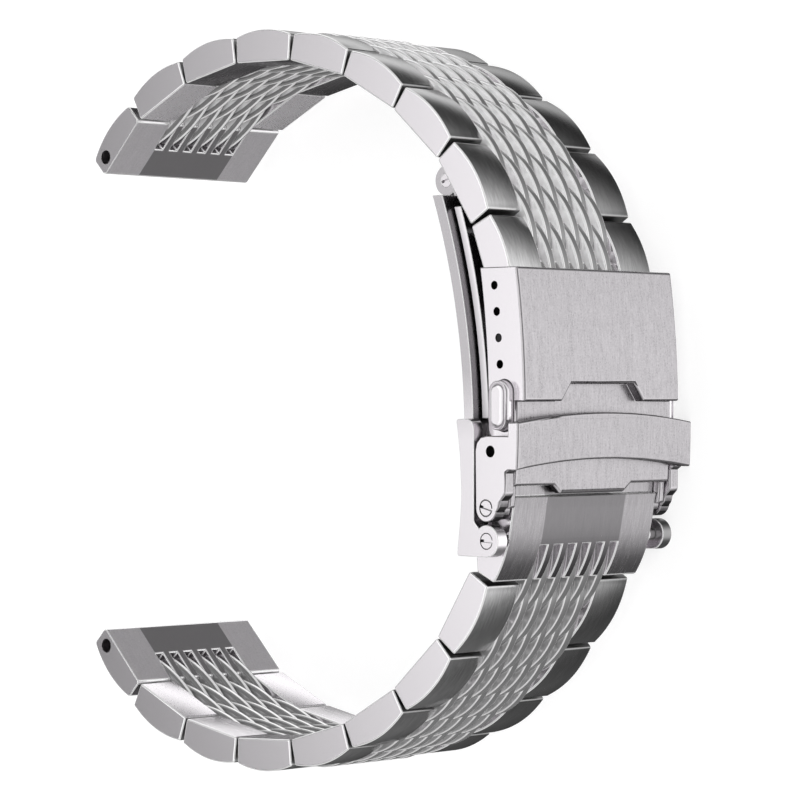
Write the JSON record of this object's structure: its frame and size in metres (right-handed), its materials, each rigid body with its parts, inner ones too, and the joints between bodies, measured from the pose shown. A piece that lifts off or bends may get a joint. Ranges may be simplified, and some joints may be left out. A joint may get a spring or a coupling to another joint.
{
  "type": "watch bracelet",
  "caption": "Steel link watch bracelet with interlaced centre bars, brushed side blocks and a folding clasp with push buttons and a safety lock.",
  "frame": {"origin": "middle of the bounding box's bottom face, with the bracelet lying on the side faces of its clasp", "axes": "+Z along the loop's axis, upwards; +X from the gap between the lug ends to the clasp; +Y towards the strap that ends inside the clasp's cover"},
  "size_m": [0.0682, 0.0808, 0.027],
  "materials": {
    "link_steel": "side blocks brushed along the strap, with polished edges",
    "bar_steel": "polished centre bars",
    "cover_steel": "brushed along the strap",
    "lock_steel": "brushed band with satin ears",
    "blade_steel": "brushed sheet",
    "pin_steel": "polished screws and pins",
    "button_steel": "polished push buttons",
    "spring_steel": "plain spring wire"
  },
  "bodies": {
    "cover": {"clasp_cover": "cover_steel", "adjuster_spring_bar": "pin_steel", "cover_hinge_pin": "pin_steel", "lock_screws": "pin_steel", "button_springs": "spring_steel"},
    "outer_blade": {"outer_blade": "blade_steel"},
    "inner_blade": {"inner_blade": "blade_steel", "blade_hinge_pin": "pin_steel", "strap_screws": "pin_steel"},
    "safety_lock": {"safety_lock": "lock_steel"},
    "left_button": {"left_push_button": "button_steel"},
    "right_button": {"right_push_button": "button_steel"},
    "upper_clasp_link": {"upper_clasp_link": "link_steel"},
    "upper_bridge_9": {"upper_bridge_9": "bar_steel"},
    "upper_link_9": {"upper_link_9": "link_steel"},
    "upper_bridge_8": {"upper_bridge_8": "bar_steel"},
    "upper_link_8": {"upper_link_8": "link_steel"},
    "upper_bridge_7": {"upper_bridge_7": "bar_steel"},
    "upper_link_7": {"upper_link_7": "link_steel"},
    "upper_bridge_6": {"upper_bridge_6": "bar_steel"},
    "upper_link_6": {"upper_link_6": "link_steel"},
    "upper_bridge_5": {"upper_bridge_5": "bar_steel"},
    "upper_link_5": {"upper_link_5": "link_steel"},
    "upper_bridge_4": {"upper_bridge_4": "bar_steel"},
    "upper_link_4": {"upper_link_4": "link_steel"},
    "upper_bridge_3": {"upper_bridge_3": "bar_steel"},
    "upper_link_3": {"upper_link_3": "link_steel"},
    "upper_bridge_2": {"upper_bridge_2": "bar_steel"},
    "upper_link_2": {"upper_link_2": "link_steel"},
    "upper_bridge_1": {"upper_bridge_1": "bar_steel"},
    "upper_lug_link": {"upper_lug_link": "link_steel"},
    "lower_clasp_link": {"lower_clasp_link": "link_steel"},
    "lower_bridge_8": {"lower_bridge_8": "bar_steel"},
    "lower_link_8": {"lower_link_8": "link_steel"},
    "lower_bridge_7": {"lower_bridge_7": "bar_steel"},
    "lower_link_7": {"lower_link_7": "link_steel"},
    "lower_bridge_6": {"lower_bridge_6": "bar_steel"},
    "lower_link_6": {"lower_link_6": "link_steel"},
    "lower_bridge_5": {"lower_bridge_5": "bar_steel"},
    "lower_link_5": {"lower_link_5": "link_steel"},
    "lower_bridge_4": {"lower_bridge_4": "bar_steel"},
    "lower_link_4": {"lower_link_4": "link_steel"},
    "lower_bridge_3": {"lower_bridge_3": "bar_steel"},
    "lower_link_3": {"lower_link_3": "link_steel"},
    "lower_bridge_2": {"lower_bridge_2": "bar_steel"},
    "lower_link_2": {"lower_link_2": "link_steel"},
    "lower_bridge_1": {"lower_bridge_1": "bar_steel"},
    "lower_lug_link": {"lower_lug_link": "link_steel"}
  },
  "joints": [
    {"name": "cover_hinge", "type": "hinge", "parent": "cover", "child": "outer_blade", "pos_m": [0.03025, -0.00503, 0.0135], "axis": [0, 0, 1], "range_deg": [0, 130]},
    {"name": "blade_hinge", "type": "hinge", "parent": "outer_blade", "child": "inner_blade", "pos_m": [0.01927, 0.02288, 0.0135], "axis": [0, 0, 1], "range_deg": [-130, 0]},
    {"name": "lock_hinge", "type": "hinge", "parent": "cover", "child": "safety_lock", "pos_m": [0.02966, -0.01073, 0.0135], "axis": [0, 0, -1], "range_deg": [0, 70]},
    {"name": "left_button_press", "type": "slide", "parent": "cover", "child": "left_button", "axis": [0, 0, -1], "range_m": [0, 0.0008], "stiffness_N_per_m": 1500, "springref_m": -0.0004},
    {"name": "right_button_press", "type": "slide", "parent": "cover", "child": "right_button", "axis": [0, 0, 1], "range_m": [0, 0.0008], "stiffness_N_per_m": 1500, "springref_m": -0.0004},
    {"name": "upper_adjuster_hinge", "type": "hinge", "parent": "cover", "child": "upper_clasp_link", "pos_m": [0.02996, 0.00639, 0.0135], "axis": [0, 0, 1], "range_deg": [-1.5, 0.6]},
    {"name": "upper_hinge_9a", "type": "hinge", "parent": "upper_clasp_link", "child": "upper_bridge_9", "pos_m": [0.02981, 0.00811, 0.0135], "axis": [0, 0, 1], "range_deg": [-1.5, 0.8]},
    {"name": "upper_hinge_9b", "type": "hinge", "parent": "upper_bridge_9", "child": "upper_link_9", "pos_m": [0.02882, 0.01241, 0.0135], "axis": [0, 0, 1], "range_deg": [-5, 1]},
    {"name": "upper_hinge_8a", "type": "hinge", "parent": "upper_link_9", "child": "upper_bridge_8", "pos_m": [0.02724, 0.01653, 0.0135], "axis": [0, 0, 1], "range_deg": [-10, 1.5]},
    {"name": "upper_hinge_8b", "type": "hinge", "parent": "upper_bridge_8", "child": "upper_link_8", "pos_m": [0.02519, 0.02043, 0.0135], "axis": [0, 0, 1], "range_deg": [-10, 1.5]},
    {"name": "upper_hinge_7a", "type": "hinge", "parent": "upper_link_8", "child": "upper_bridge_7", "pos_m": [0.02269, 0.02407, 0.0135], "axis": [0, 0, 1], "range_deg": [-10, 4]},
    {"name": "upper_hinge_7b", "type": "hinge", "parent": "upper_bridge_7", "child": "upper_link_7", "pos_m": [0.01975, 0.02735, 0.0135], "axis": [0, 0, 1], "range_deg": [-10, 4]},
    {"name": "upper_hinge_6a", "type": "hinge", "parent": "upper_link_7", "child": "upper_bridge_6", "pos_m": [0.0164, 0.03022, 0.0135], "axis": [0, 0, 1], "range_deg": [-10, 4]},
    {"name": "upper_hinge_6b", "type": "hinge", "parent": "upper_bridge_6", "child": "upper_link_6", "pos_m": [0.01275, 0.0327, 0.0135], "axis": [0, 0, 1], "range_deg": [-10, 4]},
    {"name": "upper_hinge_5a", "type": "hinge", "parent": "upper_link_6", "child": "upper_bridge_5", "pos_m": [0.00886, 0.03478, 0.0135], "axis": [0, 0, 1], "range_deg": [-10, 4]},
    {"name": "upper_hinge_5b", "type": "hinge", "parent": "upper_bridge_5", "child": "upper_link_5", "pos_m": [0.00476, 0.0364, 0.0135], "axis": [0, 0, 1], "range_deg": [-10, 4]},
    {"name": "upper_hinge_4a", "type": "hinge", "parent": "upper_link_5", "child": "upper_bridge_4", "pos_m": [0.0005, 0.03754, 0.0135], "axis": [0, 0, 1], "range_deg": [-10, 4]},
    {"name": "upper_hinge_4b", "type": "hinge", "parent": "upper_bridge_4", "child": "upper_link_4", "pos_m": [-0.00386, 0.03818, 0.0135], "axis": [0, 0, 1], "range_deg": [-10, 4]},
    {"name": "upper_hinge_3a", "type": "hinge", "parent": "upper_link_4", "child": "upper_bridge_3", "pos_m": [-0.00827, 0.0383, 0.0135], "axis": [0, 0, 1], "range_deg": [-10, 4]},
    {"name": "upper_hinge_3b", "type": "hinge", "parent": "upper_bridge_3", "child": "upper_link_3", "pos_m": [-0.01267, 0.03792, 0.0135], "axis": [0, 0, 1], "range_deg": [-10, 4]},
    {"name": "upper_hinge_2a", "type": "hinge", "parent": "upper_link_3", "child": "upper_bridge_2", "pos_m": [-0.01699, 0.03704, 0.0135], "axis": [0, 0, 1], "range_deg": [-10, 4]},
    {"name": "upper_hinge_2b", "type": "hinge", "parent": "upper_bridge_2", "child": "upper_link_2", "pos_m": [-0.02118, 0.03566, 0.0135], "axis": [0, 0, 1], "range_deg": [-10, 4]},
    {"name": "upper_hinge_1a", "type": "hinge", "parent": "upper_link_2", "child": "upper_bridge_1", "pos_m": [-0.02518, 0.0338, 0.0135], "axis": [0, 0, 1], "range_deg": [-10, 4]},
    {"name": "upper_hinge_1b", "type": "hinge", "parent": "upper_bridge_1", "child": "upper_lug_link", "pos_m": [-0.02879, 0.03128, 0.0135], "axis": [0, 0, 1], "range_deg": [-10, 4]},
    {"name": "strap_hinge", "type": "hinge", "parent": "inner_blade", "child": "lower_clasp_link", "pos_m": [0.02973, -0.01405, 0.0135], "axis": [0, 0, 1], "range_deg": [-2, 12]},
    {"name": "lower_hinge_8a", "type": "hinge", "parent": "lower_clasp_link", "child": "lower_bridge_8", "pos_m": [0.02712, -0.01579, 0.0135], "axis": [0, 0, 1], "range_deg": [-4, 10]},
    {"name": "lower_hinge_8b", "type": "hinge", "parent": "lower_bridge_8", "child": "lower_link_8", "pos_m": [0.02517, -0.01975, 0.0135], "axis": [0, 0, 1], "range_deg": [-4, 10]},
    {"name": "lower_hinge_7a", "type": "hinge", "parent": "lower_link_8", "child": "lower_bridge_7", "pos_m": [0.02276, -0.02344, 0.0135], "axis": [0, 0, 1], "range_deg": [-4, 10]},
    {"name": "lower_hinge_7b", "type": "hinge", "parent": "lower_bridge_7", "child": "lower_link_7", "pos_m": [0.01988, -0.02679, 0.0135], "axis": [0, 0, 1], "range_deg": [-4, 10]},
    {"name": "lower_hinge_6a", "type": "hinge", "parent": "lower_link_7", "child": "lower_bridge_6", "pos_m": [0.0166, -0.02973, 0.0135], "axis": [0, 0, 1], "range_deg": [-4, 10]},
    {"name": "lower_hinge_6b", "type": "hinge", "parent": "lower_bridge_6", "child": "lower_link_6", "pos_m": [0.01301, -0.03229, 0.0135], "axis": [0, 0, 1], "range_deg": [-4, 10]},
    {"name": "lower_hinge_5a", "type": "hinge", "parent": "lower_link_6", "child": "lower_bridge_5", "pos_m": [0.00916, -0.03445, 0.0135], "axis": [0, 0, 1], "range_deg": [-4, 10]},
    {"name": "lower_hinge_5b", "type": "hinge", "parent": "lower_bridge_5", "child": "lower_link_5", "pos_m": [0.0051, -0.03616, 0.0135], "axis": [0, 0, 1], "range_deg": [-4, 10]},
    {"name": "lower_hinge_4a", "type": "hinge", "parent": "lower_link_5", "child": "lower_bridge_4", "pos_m": [0.00086, -0.0374, 0.0135], "axis": [0, 0, 1], "range_deg": [-4, 10]},
    {"name": "lower_hinge_4b", "type": "hinge", "parent": "lower_bridge_4", "child": "lower_link_4", "pos_m": [-0.00348, -0.03813, 0.0135], "axis": [0, 0, 1], "range_deg": [-4, 10]},
    {"name": "lower_hinge_3a", "type": "hinge", "parent": "lower_link_4", "child": "lower_bridge_3", "pos_m": [-0.00789, -0.03834, 0.0135], "axis": [0, 0, 1], "range_deg": [-4, 10]},
    {"name": "lower_hinge_3b", "type": "hinge", "parent": "lower_bridge_3", "child": "lower_link_3", "pos_m": [-0.01229, -0.03806, 0.0135], "axis": [0, 0, 1], "range_deg": [-4, 10]},
    {"name": "lower_hinge_2a", "type": "hinge", "parent": "lower_link_3", "child": "lower_bridge_2", "pos_m": [-0.01663, -0.03728, 0.0135], "axis": [0, 0, 1], "range_deg": [-4, 10]},
    {"name": "lower_hinge_2b", "type": "hinge", "parent": "lower_bridge_2", "child": "lower_link_2", "pos_m": [-0.02085, -0.03599, 0.0135], "axis": [0, 0, 1], "range_deg": [-4, 10]},
    {"name": "lower_hinge_1a", "type": "hinge", "parent": "lower_link_2", "child": "lower_bridge_1", "pos_m": [-0.02489, -0.03422, 0.0135], "axis": [0, 0, 1], "range_deg": [-4, 10]},
    {"name": "lower_hinge_1b", "type": "hinge", "parent": "lower_bridge_1", "child": "lower_lug_link", "pos_m": [-0.02853, -0.03174, 0.0135], "axis": [0, 0, 1], "range_deg": [-4, 10]}
  ],
  "couplings": [
    {"joint": "blade_hinge", "follows": "cover_hinge", "ratio": -1}
  ]
}
